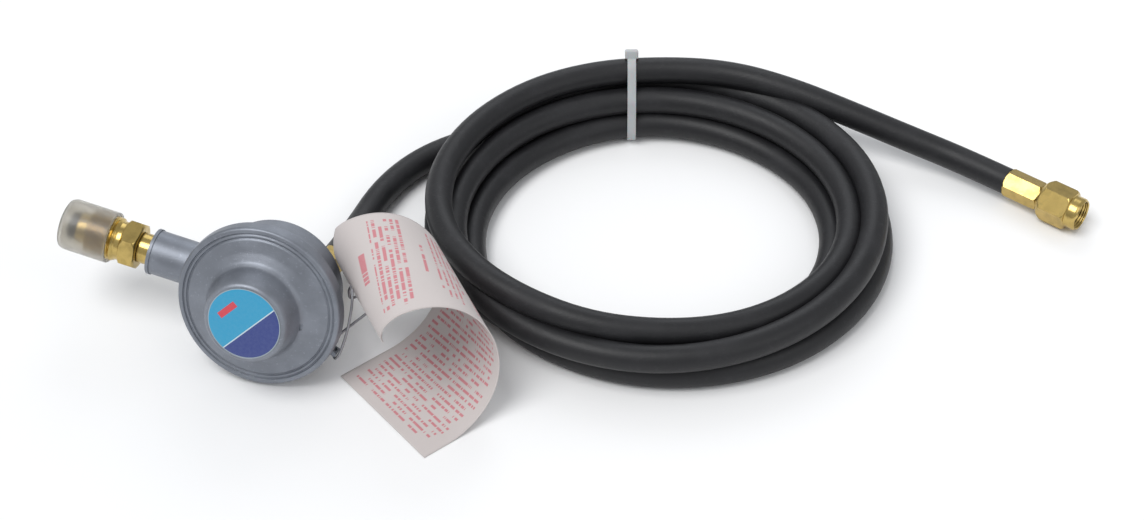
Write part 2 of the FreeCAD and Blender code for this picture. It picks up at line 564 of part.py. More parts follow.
def make_hose():
    mouth = size("outlet_length") + size("barb_hex_length") + size("ferrule_gap")
    hose_from = mouth + size("ferrule_length")
    radius = size("hose_radius")
    start = [OUTLET.multVec(V(0, 0, hose_from + ahead)) for ahead in (0, LEAD_STRAIGHT)]
    lead = tube("hose_lead", start + [V(*point) for point in LEAD_POINTS], radius)
    feature("hose_lead", lead.fuse(hose_end(OUTLET, mouth + 0.5, hose_from)))
    straight = TAIL_MOUTH - TAIL_AXIS * TAIL_STRAIGHT
    tail = tube("hose_tail", [V(*point) for point in TAIL_POINTS] + [straight, TAIL_MOUTH], radius)
    feature("hose_tail", tail.fuse(hose_end(TAIL, -size("ferrule_length"), -0.5)))
    centre = V(size("coil_x"), size("coil_y"), size("coil_bottom"))
    height = size("coil_top") - size("coil_bottom")
    walls = []
    for outer in ("outer", "inner"):
        oval = Part.Ellipse(centre, size("coil_%s_x" % outer), size("coil_%s_y" % outer))
        walls.append(Part.Face(Part.Wire(oval.toShape())).extrude(V(0, 0, height)))
    coil = walls[0].cut(walls[1])
    rims = [edge for edge in coil.Edges if abs(edge.BoundBox.ZLength) < 0.01]
    feature("hose_coil", coil.makeFillet(size("coil_round"), rims))


def make_tie():
    """A strap round the coil's section, and its head on the outer upper corner."""
    across = (size("tie_x") - size("coil_x"))
    far = size("coil_y") + size("coil_outer_y") * math.sqrt(1 - (across / size("coil_outer_x")) ** 2)
    near = size("coil_y") + size("coil_inner_y") * math.sqrt(1 - (across / size("coil_inner_x")) ** 2)
    thick, rounding = size("tie_thick"), size("coil_round")
    width, bottom, top = size("tie_width"), size("coil_bottom"), size("coil_top")
    left = size("tie_x") - width / 2
    outer = Part.makeBox(width, far - near + 2 * thick, top - bottom + 2 * thick,
                         V(left, near - thick, bottom - thick))
    outer = outer.makeFillet(rounding + thick, [edge for edge in outer.Edges
                                                if edge.BoundBox.XLength > width / 2])
    inner = Part.makeBox(width, far - near, top - bottom, V(left, near, bottom))
    inner = inner.makeFillet(rounding, [edge for edge in inner.Edges
                                        if edge.BoundBox.XLength > width / 2])
    head = Part.makeBox(size("tie_head"), size("tie_head"), size("tie_head_thick"),
                        V(size("tie_x") - size("tie_head") / 2, -size("tie_head") / 2, 0))
    head = head.makeFillet(0.8, head.Edges)
    head.Placement = FreeCAD.Placement(V(0, far - 1.2, top - 3.6),
                                       FreeCAD.Rotation(V(1, 0, 0), -40))
    strap = outer.cut(inner)
    feature("cable_tie", strap.fuse(head.cut(inner)))


def make_tail_end():
    ferrule("-ferrule_length", "0", "tail_ferrule", rolled(TAIL, "tail_roll"))
    head = "swivel_start + swivel_web + end_gap"
    stem = turned("tail_stem", [
        ("barb_bore", "-ferrule_length + 1")]
        + [(radius, "-(%s)" % height) for radius, height in
           reversed(barb("tail_barb", "0.5", "ferrule_length - 1.5"))]
        + [("barb_radius", "0"), ("ferrule_flats / 2", "0"),
           ("ferrule_flats / 2", "swivel_start - end_gap"),
           ("neck_outer", "swivel_start - end_gap"), ("neck_outer", head), ("flare_radius", head),
           ("flare_radius", head + " + flare_edge"),
           ("flare_tip", head + " + flare_edge + flare_radius - flare_tip"),
           ("barb_bore", head + " + flare_edge + flare_radius - flare_tip")])
    node(stem, "tail_stem", TAIL)
    corner = "swivel_flats / 1.7320508"
    finish = "swivel_start + swivel_length"
    hexagon = "swivel_start + swivel_hex"
    web = "swivel_start + swivel_web"
    nut = hexed("swivel_nut", [
        ("neck_outer + turn_gap", "swivel_start"), (corner + " - 3.2", "swivel_start"),
        (corner, "swivel_start + 3"), (corner, hexagon + " - swivel_chamfer"),
        (corner + " - swivel_chamfer", hexagon), ("swivel_collar", hexagon + " + 0.4"),
        ("swivel_collar", finish + " - 0.8"), ("swivel_collar - 0.8", finish),
        ("swivel_thread + 0.5", finish), ("swivel_thread", finish + " - 0.5"),
        ("swivel_thread", "thread_start"), ("swivel_relief", "thread_start"),
        ("swivel_relief", web), ("neck_outer + turn_gap", web)],
        "swivel_flats", "swivel_start - 1", "swivel_length + 2")
    node(nut, "swivel_nut", rolled(TAIL, "swivel_roll"))


# ---- tag and wire -------------------------------------------------------------------------

def curl(along):
    """Place and heading on the tag's side curve: flat on the table, then three bends."""
    reach, height, turn = min(along, size("tag_flat")), 0.0, 0.0
    left = along - reach
    for radius, length in ((size("tag_first_radius"), size("tag_first_length")),
                           (size("tag_second_radius"), size("tag_second_length")),
                           (size("tag_third_radius"), left)):
        ahead = turn + min(left, length) / radius
        reach += radius * (math.sin(ahead) - math.sin(turn))
        height += radius * (math.cos(turn) - math.cos(ahead))
        left, turn = max(left - length, 0.0), ahead
    return reach, height, turn


def make_tag():
    """A curled sheet: thin straight-sided sections across it, one after another, as one solid."""
    heading = math.radians(size("tag_deg"))
    skew = math.radians(size("tag_skew"))
    forward = V(math.cos(heading), math.sin(heading), 0)
    across = V(math.sin(heading), -math.cos(heading), 0)
    corner = V(size("tag_x"), size("tag_y"), size("table_gap"))
    width, thick, length = size("tag_width"), size("tag_thick"), size("tag_length")
    clip = size("tag_corner")
    steps = 44
    first, last = width * math.sin(skew) / 2, length * math.cos(skew)

    def section(along):
        """Middle of the sheet's near edge, its way across and its normal, at a distance along."""
        reach, height, turn = curl(along)
        start = corner + forward * reach + V(0, 0, height + thick / 2) - across * (along * math.tan(skew))
        return start, forward * -math.sin(turn) + V(0, 0, math.cos(turn))

    sections = []
    for step in range(steps + 1):
        along = first + (last - first) * step / steps
        start, normal = section(along)
        trim = max(0.0, clip - (last - along))
        near, far = start + across * trim, start + across * (width / math.cos(skew) - trim)
        ends = [near - normal * (thick / 2), far - normal * (thick / 2),
                far + normal * (thick / 2), near + normal * (thick / 2)]
        sections.append(Part.makePolygon(ends + [ends[0]]))
    sheet_solid = Part.makeLoft(sections, True, True)
    start, normal = section(last - size("tag_hole_inset"))
    middle = start + across * (width / math.cos(skew) / 2)
    punch = Part.makeCylinder(size("tag_hole"), thick * 8, middle - normal * (thick * 4), normal)
    feature("paper_tag", sheet_solid.cut(punch))


def make_wire():
    wire = tube("tag_wire", [V(*point) for point in WIRE_POINTS], size("wire_radius"))
    feature("tag_wire", wire, REGULATOR)


make_bonnet()
make_casing()
make_valve()
make_lever()
make_diaphragm_stack()
make_inlet()
make_outlet()
make_hose()
make_tie()
make_tail_end()
make_tag()
make_wire()
doc.recompute()

for item in doc.Objects:
    if "Invalid" in item.State or "Error" in item.State:
        raise RuntimeError("object failed: " + item.Name)
for item in nodes:
    if item.Shape.isNull() or not item.Shape.isValid() or not item.Shape.Solids:
        raise RuntimeError("no sound solid: " + item.Label)

os.makedirs("parts", exist_ok=True)
for item in nodes:
    item.Shape.exportStep("parts/%s.step" % item.Label)
    print("%-16s %9.1f mm3" % (item.Label, item.Shape.Volume))
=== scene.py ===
import json
import math

import bmesh
import bpy
import numpy as np
from bpy.props import FloatProperty, FloatVectorProperty, IntProperty, PointerProperty
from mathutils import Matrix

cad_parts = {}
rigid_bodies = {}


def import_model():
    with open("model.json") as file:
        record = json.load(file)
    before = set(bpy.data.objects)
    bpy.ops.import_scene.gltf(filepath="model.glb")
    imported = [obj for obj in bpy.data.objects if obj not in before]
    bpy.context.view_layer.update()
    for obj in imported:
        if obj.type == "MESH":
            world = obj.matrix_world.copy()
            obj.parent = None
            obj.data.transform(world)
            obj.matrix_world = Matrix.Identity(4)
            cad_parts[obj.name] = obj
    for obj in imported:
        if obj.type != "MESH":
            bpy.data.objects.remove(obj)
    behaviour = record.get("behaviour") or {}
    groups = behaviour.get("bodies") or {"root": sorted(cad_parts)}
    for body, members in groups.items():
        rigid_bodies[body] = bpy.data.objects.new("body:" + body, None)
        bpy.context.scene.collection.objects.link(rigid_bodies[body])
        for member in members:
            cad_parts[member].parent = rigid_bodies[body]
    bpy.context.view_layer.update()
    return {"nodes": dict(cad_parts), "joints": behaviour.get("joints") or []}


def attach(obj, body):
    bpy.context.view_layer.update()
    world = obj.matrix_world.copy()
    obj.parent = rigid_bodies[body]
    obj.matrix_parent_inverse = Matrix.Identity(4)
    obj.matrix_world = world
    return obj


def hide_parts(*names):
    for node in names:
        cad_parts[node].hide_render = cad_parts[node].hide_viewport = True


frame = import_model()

bl_info = {
    "name": "Gas regulator set",
    "version": (1, 0, 0),
    "blender": (4, 5, 0),
    "location": "View3D > Sidebar > Regulator",
    "description": "Makes the pieces and finishes of a gas regulator with its hose",
    "category": "Object",
}

JOINTS = {joint["name"]: joint for joint in frame["joints"]}
MM = 0.001


def unit(vector):
    vector = np.asarray(vector, float)
    return vector / np.linalg.norm(vector)


class Place:
    """A frame of axes: points given along its own x, y and z are turned into the row frame."""

    def __init__(self, origin, x_axis, z_axis):
        z = unit(z_axis)
        x = unit(np.asarray(x_axis, float) - z * np.dot(x_axis, z))
        self.origin, self.axes = np.asarray(origin, float), np.stack([x, np.cross(z, x), z])

    def __call__(self, points):
        return self.origin + np.asarray(points, float) @ self.axes

    def turned(self, degrees):
        x, y, z = self.axes
        angle = math.radians(degrees)
        return Place(self.origin, x * math.cos(angle) + y * math.sin(angle), z)


# The disc's axis, towards the label, and the inlet's axis come from the joints along them.
LABEL_WAY = np.array(JOINTS["diaphragm_slide"]["axis"])
INLET_WAY = np.array(JOINTS["inlet_nut_spin"]["axis"])
INLET_DEPTH = 17.4 * MM
INLET_START = np.array(JOINTS["inlet_nut_spin"]["pos_m"])
DISC = Place(INLET_START + LABEL_WAY * INLET_DEPTH, -INLET_WAY, LABEL_WAY)
INLET = Place(INLET_START, DISC.axes[1], INLET_WAY)
TAIL = Place(JOINTS["far_nut_spin"]["pos_m"], np.cross(JOINTS["far_nut_spin"]["axis"], (0, 0, 1)),
             JOINTS["far_nut_spin"]["axis"])
OUTLET_SIDE, BOWL_BACK = 15.0 * MM, 31.5 * MM
OUTLET = Place(DISC((OUTLET_SIDE, 0, -BOWL_BACK)), DISC.axes[0], -LABEL_WAY)
# Where the hose starts and ends, along the outlet's and the far fitting's own axes.
OUTLET_MOUTH, LEAD_STRAIGHT = 36.0 * MM, 34.0 * MM
TAIL_MOUTH, TAIL_STRAIGHT = -20.0 * MM, 28.0 * MM
MERGE_DISTANCE, SLIVER_LENGTH = 1e-6, 1e-7
SHARP_ANGLE = math.radians(35.0)


# ---- what a user would change --------------------------------------------------------------

def length(name, default, description):
    return FloatProperty(name=name, description=description, default=default, unit="LENGTH", precision=4)


def colour(name, default, description):
    return FloatVectorProperty(name=name, description=description, default=default, size=3,
                               subtype="COLOR", min=0.0, max=1.0)


class REG_PG_body(bpy.types.PropertyGroup):
    zinc: colour("Zinc", (0.27, 0.29, 0.33), "Colour of the die-cast halves")
    label_field: colour("Label field", (0.010, 0.30, 0.52), "Main colour of the label")
    label_side: colour("Label side", (0.014, 0.030, 0.20), "Colour of the label's darker part")
    label_bar: colour("Label bar", (0.62, 0.03, 0.05), "Colour of the label's short bar")
    rim_round: length("Rim rounding", 0.0009, "Rounding of the disc's turned edges")


class REG_PG_fittings(bpy.types.PropertyGroup):
    brass: colour("Brass", (0.56, 0.41, 0.14), "Colour of the turned brass")
    cap: colour("Cap", (0.80, 0.77, 0.70), "Colour of the frosted cap")
    thread_pitch: length("Thread pitch", 0.001814, "Pitch of the inlet thread")
    thread_depth: length("Thread depth", 0.0010, "Depth of the inlet thread")


class REG_PG_hose(bpy.types.PropertyGroup):
    rubber: colour("Rubber", (0.013, 0.013, 0.0145), "Colour of the hose")
    diameter: length("Hose diameter", 0.0142, "Outer diameter of the hose")
    steps: IntProperty(name="Points per turn", description="Control points in one turn of the coil",
                       default=18, min=12, max=36)
    tie: colour("Tie", (0.44, 0.46, 0.47), "Colour of the nylon tie")


class REG_PG_tag(bpy.types.PropertyGroup):
    paper: colour("Paper", (0.60, 0.55, 0.535), "Colour of the paper")
    print_red: colour("Print", (0.56, 0.16, 0.19), "Colour of the printed lines")
    width: length("Tag width", 0.0697, "Width of the flat tag")
    length: length("Tag length", 0.188, "Length of the flat tag")
    thickness: length("Tag thickness", 0.00035, "Thickness of the paper")


class REG_PG_stage(bpy.types.PropertyGroup):
    floor: colour("Floor", (0.92, 0.92, 0.92), "Colour of the floor")
    focal: FloatProperty(name="Focal length", description="Camera focal length in millimetres",
                         default=91.3, min=10.0, subtype="DISTANCE_CAMERA")
    key_power: FloatProperty(name="Key light", description="Strength of the soft sun", default=1.7, min=0.0)


class REG_PG_all(bpy.types.PropertyGroup):
    body: PointerProperty(type=REG_PG_body, name="Body", description="Disc, label and casing")
    fittings: PointerProperty(type=REG_PG_fittings, name="Fittings", description="Brass and cap")
    hose: PointerProperty(type=REG_PG_hose, name="Hose", description="Hose, coil and tie")
    tag: PointerProperty(type=REG_PG_tag, name="Tag", description="Curled paper tag")
    stage: PointerProperty(type=REG_PG_stage, name="Stage", description="Floor, lights and camera")


# ---- surfaces ------------------------------------------------------------------------------

def surface(name, points, loop_rows=False, loop_cols=False, uv=None):
    """A mesh from a grid of points: the quad at row i and column j joins the points (i, j),
    (i+1, j), (i+1, j+1) and (i, j+1). A looped direction joins its last points to its first."""
    rows, cols = points.shape[:2]
    last_row, last_col = rows - (not loop_rows), cols - (not loop_cols)
    i, j = np.meshgrid(np.arange(last_row), np.arange(last_col), indexing="ij")
    i_next, j_next = (i + 1) % rows, (j + 1) % cols
    corners = np.stack([i * cols + j, i_next * cols + j, i_next * cols + j_next, i * cols + j_next], -1)
    mesh = bpy.data.meshes.new(name)
    mesh.from_pydata(points.reshape(-1, 3).tolist(), [], corners.reshape(-1, 4).tolist())
    if uv is not None:
        layer = mesh.uv_layers.new(name="flat")
        layer.uv.foreach_set("vector", uv.reshape(-1, 2)[corners.reshape(-1)].astype(np.float32).ravel())
    work = bmesh.new()
    work.from_mesh(mesh)
    bmesh.ops.remove_doubles(work, verts=work.verts, dist=MERGE_DISTANCE)
    bmesh.ops.dissolve_degenerate(work, edges=work.edges, dist=SLIVER_LENGTH)
    bmesh.ops.recalc_face_normals(work, faces=work.faces)
    work.to_mesh(mesh)
    work.free()
    mesh.polygons.foreach_set("use_smooth", np.ones(len(mesh.polygons), dtype=bool))
    mesh.set_sharp_from_angle(angle=SHARP_ANGLE)
    item = bpy.data.objects.new(name, mesh)
    bpy.context.scene.collection.objects.link(item)
    return item


def rounded(corners, radius, steps):
    """A profile whose corners are quadratic curves: from a setback s before the corner C to s
    after it, (1-t)^2 A + 2t(1-t) C + t^2 B. s is the radius, or 0.45 of the shorter side."""
    corner = np.asarray(corners, float)
    before, after = np.roll(corner, 1, 0) - corner, np.roll(corner, -1, 0) - corner
    reach_before = np.linalg.norm(before, axis=1, keepdims=True) + 1e-12
    reach_after = np.linalg.norm(after, axis=1, keepdims=True) + 1e-12
    setback = np.minimum(radius, 0.45 * np.minimum(reach_before, reach_after))
    start = corner + before / reach_before * setback
    end = corner + after / reach_after * setback
    t = np.linspace(0, 1, steps)[None, :, None]
    curve = (1 - t) ** 2 * start[:, None] + 2 * t * (1 - t) * corner[:, None] + t ** 2 * end[:, None]
    return curve.reshape(-1, 2)


def subdivided(profile, step):
    """The same profile with points along its sides, no further apart than a step."""
    ahead = np.roll(profile, -1, 0)
    sides = np.maximum(1, np.ceil(np.linalg.norm(ahead - profile, axis=1) / step).astype(int))
    index = np.repeat(np.arange(len(profile)), sides)
    part = np.arange(sides.sum()) - np.repeat(np.cumsum(sides) - sides, sides)
    share = (part / sides[index])[:, None]
    return profile[index] * (1 - share) + ahead[index] * share


def spun(profile, place, columns, shape=None):
    """Rows are the profile's points (r, z) in millimetres, columns the angles a round the axis:
    (r cos a, r sin a, z). shape(r, z, a) may change the radius, as for a hexagon or a thread."""
    angle = np.linspace(0, 2 * np.pi, columns, endpoint=False)[None, :]
    radius, height = profile[:, :1], profile[:, 1:]
    radius = np.broadcast_to(radius, (len(profile), columns))
    if shape is not None:
        radius = shape(radius, height, angle)
    points = np.stack([radius * np.cos(angle), radius * np.sin(angle),
                       np.broadcast_to(height, radius.shape)], -1)
    return place(points * MM)


def hexagon(flats):
    """A radius limited to a hexagon's side, flats / 2 / cos(a - a0), a0 being the nearest side's."""
    def shape(radius, height, angle):
        off = (angle % (np.pi / 3)) - np.pi / 6
        return np.minimum(radius, flats / 2 / np.cos(off))
    return shape


def triangle_wave(turns):
    return np.abs(2 * (turns % 1.0) - 1.0)


# ---- materials -----------------------------------------------------------------------------

class Value:
    """A node's output, with the sums that the materials use written as Python expressions."""

    def __init__(self, shader, socket):
        self.shader, self.socket = shader, socket

    def math(self, operation, *others):
        return self.shader.node("ShaderNodeMath", {"operation": operation},
                                {index: value for index, value in enumerate((self,) + others)})

    def __add__(self, other): return self.math("ADD", other)
    def __radd__(self, other): return self.math("ADD", other)
    def __sub__(self, other): return self.math("SUBTRACT", other)
    def __rsub__(self, other): return (self * -1.0) + other
    def __mul__(self, other): return self.math("MULTIPLY", other)
    def __rmul__(self, other): return self.math("MULTIPLY", other)
    def __truediv__(self, other): return self.math("DIVIDE", other)
    def __gt__(self, other): return self.math("GREATER_THAN", other)
    def __lt__(self, other): return self.math("LESS_THAN", other)

    def between(self, low, high, soft):
        """1 inside a range, 0 outside, with soft edges."""
        rise = self.shader.ramp(self, low - soft, low + soft)
        return rise * (1.0 - self.shader.ramp(self, high - soft, high + soft))


class Shader:
    """A material's nodes. Everything ends in its one Principled shader."""

    def __init__(self, name):
        self.material = bpy.data.materials.new(name)
        self.material.use_nodes = True
        self.tree = self.material.node_tree
        self.tree.nodes.clear()
        self.output = self.tree.nodes.new("ShaderNodeOutputMaterial")
        self.bsdf = self.tree.nodes.new("ShaderNodeBsdfPrincipled")
        self.tree.links.new(self.bsdf.outputs[0], self.output.inputs[0])

    def put(self, socket, value):
        if isinstance(value, Value):
            self.tree.links.new(value.socket, socket)
        elif socket.type == "RGBA" and len(value) == 3:
            socket.default_value = (*value, 1.0)
        else:
            socket.default_value = value

    def node(self, kind, settings, inputs, output=0):
        item = self.tree.nodes.new(kind)
        for key, value in settings.items():
            setattr(item, key, value)
        for key, value in inputs.items():
            self.put(item.inputs[key], value)
        return Value(self, item.outputs[output])

    def set(self, **sockets):
        for key, value in sockets.items():
            self.put(self.bsdf.inputs[key.replace("_", " ")], value)
        return self

    def objects(self):
        return self.node("ShaderNodeTexCoord", {}, {}, "Object")

    def flat(self):
        return self.node("ShaderNodeUVMap", {"uv_map": "flat"}, {})

    def parts(self, vector):
        return [self.node("ShaderNodeSeparateXYZ", {}, {0: vector}, axis) for axis in range(3)]

    def vector(self, x, y, z):
        return self.node("ShaderNodeCombineXYZ", {}, {"X": x, "Y": y, "Z": z})

    def noise(self, vector, scale, detail=4.0, rough=0.55):
        return self.node("ShaderNodeTexNoise", {}, {"Vector": vector, "Scale": scale, "Detail": detail,
                                                    "Roughness": rough})

    def random(self, vector):
        return self.node("ShaderNodeTexWhiteNoise", {"noise_dimensions": "3D"}, {"Vector": vector})

    def ramp(self, value, low, high):
        return self.node("ShaderNodeMapRange", {"interpolation_type": "SMOOTHSTEP"},
                         {"Value": value, "From Min": low, "From Max": high})

    def mix(self, share, first, second):
        """The share of the second colour. A Mix node's colours are its sockets 6 and 7."""
        return self.node("ShaderNodeMix", {"data_type": "RGBA"}, {0: share, 6: first, 7: second}, 2)

    def bump(self, height, strength, distance):
        return self.node("ShaderNodeBump", {}, {"Height": height, "Strength": strength,
                                                "Distance": distance})

    def stretched(self, way, share):
        """Object coordinates p + (share - 1) (p . way) way, for a pattern of rings across an axis."""
        position = self.objects()
        run = self.node("ShaderNodeVectorMath", {"operation": "DOT_PRODUCT"},
                        {0: position, 1: tuple(way)}, "Value")
        shift = self.node("ShaderNodeVectorMath", {"operation": "SCALE"},
                          {0: tuple(way), "Scale": run * (share - 1.0)})
        return self.node("ShaderNodeVectorMath", {"operation": "ADD"}, {0: position, 1: shift})


def darker(tint, share):
    return tuple(channel * share for channel in tint)


def cast_metal(name, tint, seed=0.0):
    """Tumbled die-cast zinc: a fine grain, soft pale and dark clouds and small scratches."""
    paint = Shader(name)
    position = paint.node("ShaderNodeVectorMath", {"operation": "ADD"}, {0: paint.objects(), 1: (seed,) * 3})
    clouds = paint.noise(position, 55.0, 5.0)
    grain = paint.noise(position, 1500.0, 3.0, 0.6)
    specks = paint.ramp(paint.noise(position, 620.0, 2.0), 0.62, 0.70)
    tone = paint.mix(paint.ramp(clouds, 0.35, 0.68), darker(tint, 0.80), tint)
    tone = paint.mix(specks * 0.25, tone, darker(tint, 1.55))
    paint.set(Base_Color=tone, Metallic=0.80, Roughness=0.38 + 0.14 * clouds + 0.05 * grain,
              Normal=paint.bump(grain + 0.6 * clouds, 0.22, 0.0004))
    return paint.material


def brass_metal(name, tint, way, dull=0.0):
    """Turned brass: rings round its axis, slightly uneven shine and faint darker handling marks."""
    paint = Shader(name)
    rings = paint.noise(paint.stretched(way, 14.0), 130.0, 2.0)
    cloud = paint.noise(paint.objects(), 160.0, 4.0)
    tone = paint.mix(paint.ramp(cloud, 0.40, 0.72), tint, darker(tint, 0.74))
    paint.set(Base_Color=tone, Metallic=1.0, Roughness=0.16 + dull + 0.16 * cloud,
              Normal=paint.bump(rings, 0.10, 0.0003))
    return paint.material


def steel_metal(name, tint, roughness):
    paint = Shader(name)
    cloud = paint.noise(paint.objects(), 420.0, 4.0)
    paint.set(Base_Color=paint.mix(cloud, darker(tint, 0.78), tint), Metallic=0.95,
              Roughness=roughness + 0.15 * cloud, Normal=paint.bump(cloud, 0.12, 0.0003))
    return paint.material


def rubber(name, tint, roughness):
    """Moulded or extruded rubber: matt, with pale bloom in patches and a fine pitted skin."""
    paint = Shader(name)
    bloom = paint.ramp(paint.noise(paint.objects(), 38.0, 6.0, 0.65), 0.46, 0.72)
    dust = paint.ramp(paint.noise(paint.objects(), 300.0, 4.0, 0.7), 0.52, 0.70)
    skin = paint.noise(paint.objects(), 900.0, 3.0, 0.6)
    tone = paint.mix(bloom * 0.30 + dust * 0.16, tint, darker(tint, 2.6))
    paint.set(Base_Color=tone, Roughness=roughness + 0.14 * bloom - 0.05 * dust,
              Specular_IOR_Level=0.36, Normal=paint.bump(skin + 0.5 * dust, 0.22, 0.0004))
    return paint.material


def plastic(name, tint, roughness, clear=0.0, scatter=0.0):
    paint = Shader(name)
    cloud = paint.noise(paint.objects(), 210.0, 4.0)
    paint.set(Base_Color=paint.mix(cloud * 0.5, tint, darker(tint, 0.90)), Roughness=roughness + 0.10 * cloud,
              Transmission_Weight=clear, IOR=1.5, Subsurface_Weight=scatter, Subsurface_Scale=0.002,
              Normal=paint.bump(cloud, 0.05, 0.0004))
    return paint.material


def label_print(name, body):
    """A plain label: a field, a darker part beyond a straight pale line and a short bar, all
    along one slope, and a thin edge. Lengths are shares of the label's width."""
    paint = Shader(name)
    x, y, _ = paint.parts(paint.flat())
    slope = x * 0.80 - y * 0.60
    rise = x * 0.60 + y * 0.80
    bar = slope.between(-0.22, -0.13, 0.004) * rise.between(0.50, 0.80, 0.004)
    across, up = x - 0.5, y - 0.5
    whole = (across * across + up * up).math("SQRT")
    grain = paint.noise(paint.objects(), 700.0, 3.0)
    line_start, line_end, edge = 0.185, 0.20, 0.487
    tone = paint.mix(slope > line_start, tuple(body.label_field), (0.55, 0.66, 0.72))
    tone = paint.mix(slope > line_end, tone, tuple(body.label_side))
    tone = paint.mix(bar, tone, tuple(body.label_bar))
    tone = paint.mix(whole > edge, tone, (0.30, 0.36, 0.40))
    tone = paint.mix(grain * 0.12, tone, (0.35, 0.45, 0.5))
    paint.set(Base_Color=tone, Roughness=0.34 + 0.12 * grain, Coat_Weight=0.15,
              Normal=paint.bump(grain, 0.06, 0.0003))
    return paint.material


def printed_lines(paint, across, along, low, high, pitch, margin, width, heavy, seed):
    """Lines of plain broken strokes, between two distances along the tag: no letters. The
    strokes are broken at random into longer and shorter runs, and the lines end unevenly."""
    long_run, short_run, soft_edge, ragged = 3.4, 0.55, 0.06, 5.0
    line = (along - low) / pitch
    number, part = line.math("FLOOR"), line.math("FRACT")
    stroke = part.between(0.5 - heavy / 2, 0.5 + heavy / 2, soft_edge)
    word = paint.random(paint.vector((across / long_run).math("FLOOR"), number, seed)) > 0.16
    tick = paint.random(paint.vector((across / short_run).math("FLOOR"), number, seed + 5.0)) > 0.22
    end = paint.random(paint.vector(number, seed, 2.0)) * ragged
    inside = (along > low) * (along < high) * (across > margin) * ((across + end) < (width - margin))
    return stroke * word * tick * inside


# The tag's flat coordinates run to 1 at this distance, and its hole is this far across and along.
UV_SPAN, TAG_HOLE, TAG_HOLE_RADIUS = 200.0, (34.85, 180.0), 3.0


def printed_paper(name, tag, blocks):
    """Uncoated paper with blocks of plain red lines on its flat coordinates, in millimetres."""
    paint = Shader(name)
    u, v, _ = paint.parts(paint.flat())
    across, along = u * UV_SPAN, v * UV_SPAN
    fibre = paint.noise(paint.objects(), 800.0, 5.0, 0.65)
    cloud = paint.noise(paint.objects(), 30.0, 4.0)
    ink = None
    for block in blocks:
        mark = printed_lines(paint, across, along, *block)
        ink = mark if ink is None else ink.math("MAXIMUM", mark)
    tone = paint.mix(cloud * 0.35 + fibre * 0.20, tuple(tag.paper), darker(tag.paper, 0.84))
    tone = paint.mix(ink * (0.70 + 0.25 * fibre), tone, tuple(tag.print_red))
    hole_across, hole_along = across - TAG_HOLE[0], along - TAG_HOLE[1]
    hole = (hole_across * hole_across + hole_along * hole_along).math("SQRT") > TAG_HOLE_RADIUS
    paint.set(Base_Color=tone, Roughness=0.80 + 0.1 * fibre, Alpha=hole,
              Normal=paint.bump(fibre, 0.15, 0.0003))
    return paint.material


def finish(piece, material, body=None, replaced=()):
    """Gives a piece its material, the body it rides on and the CAD solids it stands for."""
    piece.data.materials.clear()
    piece.data.materials.append(material)
    if body:
        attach(piece, body)
    if replaced:
        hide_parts(*replaced)
    return piece


def repaint(material, *nodes):
    for name in nodes:
        item = frame["nodes"][name]
        for place in item.material_slots:
            place.material = material
        if not item.material_slots:
            item.data.materials.append(material)


# ---- pieces --------------------------------------------------------------------------------

class REG_OT_disc(bpy.types.Operator):
    """Make the front of the disc, its label and the finishes of the body"""
    bl_idname = "regulator.disc"
    bl_label = "Disc and label"

    def execute(self, context):
        body = context.scene.regulator.body
        zinc = cast_metal("zinc", tuple(body.zinc))
        corners = [(37.6, -5.1), (41.4, -5.1), (42.0, -4.4), (42.0, 1.7), (41.3, 2.9), (40.0, 3.2),
                   (39.3, 3.2), (38.8, 2.4), (38.2, 3.2), (37.3, 3.3), (36.7, 2.5), (36.0, 3.4),
                   (30.0, 5.0), (25.6, 7.2), (24.0, 9.2), (21.4, 19.4), (20.6, 21.2), (19.6, 22.0),
                   (18.9, 22.0), (18.7, 21.85), (13.0, 21.85), (13.0, 14.4), (18.9, 12.2),
                   (22.3, 5.8), (31.0, 1.4), (31.0, 0.6), (40.6, 0.6), (40.6, -4.1), (37.6, -4.1)]
        profile = subdivided(rounded(corners, body.rim_round / MM, 6), 0.8)

        def slit(radius, height, angle):
            """A shallow vent slot in the step's right side, only on the step's own points."""
            deep, half_wide, half_high, middle = 2.0, 1.7, 0.75, 8.4
            off = np.abs((angle + np.pi) % (2 * np.pi) - np.pi) * radius
            across = np.clip((half_wide - off) / 0.35, 0, 1)
            up = np.clip((half_high - np.abs(height - middle)) / 0.25, 0, 1)
            return radius - deep * (across * up) * (radius > 23.0) * (height > 6.5)

        front = surface("disc_front", spun(profile, DISC, 256, slit), True, True)
        finish(front, zinc, "regulator", ["bonnet"])
        repaint(cast_metal("zinc_casing", darker(body.zinc, 0.97), 3.0), "casing")

        ring, around = np.meshgrid(np.linspace(0, 1, 40), np.linspace(0, 2 * np.pi, 128, endpoint=False),
                                   indexing="ij")
        label_radius, seat, crown, flatness = 18.6, 21.95, 0.35, 14
        radius = label_radius * ring
        height = seat + crown * (1 - ring ** flatness)
        points = DISC(np.stack([radius * np.cos(around), radius * np.sin(around), height], -1) * MM)
        uv = np.stack([0.5 + 0.5 * ring * np.cos(around), 0.5 + 0.5 * ring * np.sin(around)], -1)
        label = surface("label_film", points, False, True, uv)
        finish(label, label_print("label_print", body), "regulator", ["label"])
        return {"FINISHED"}


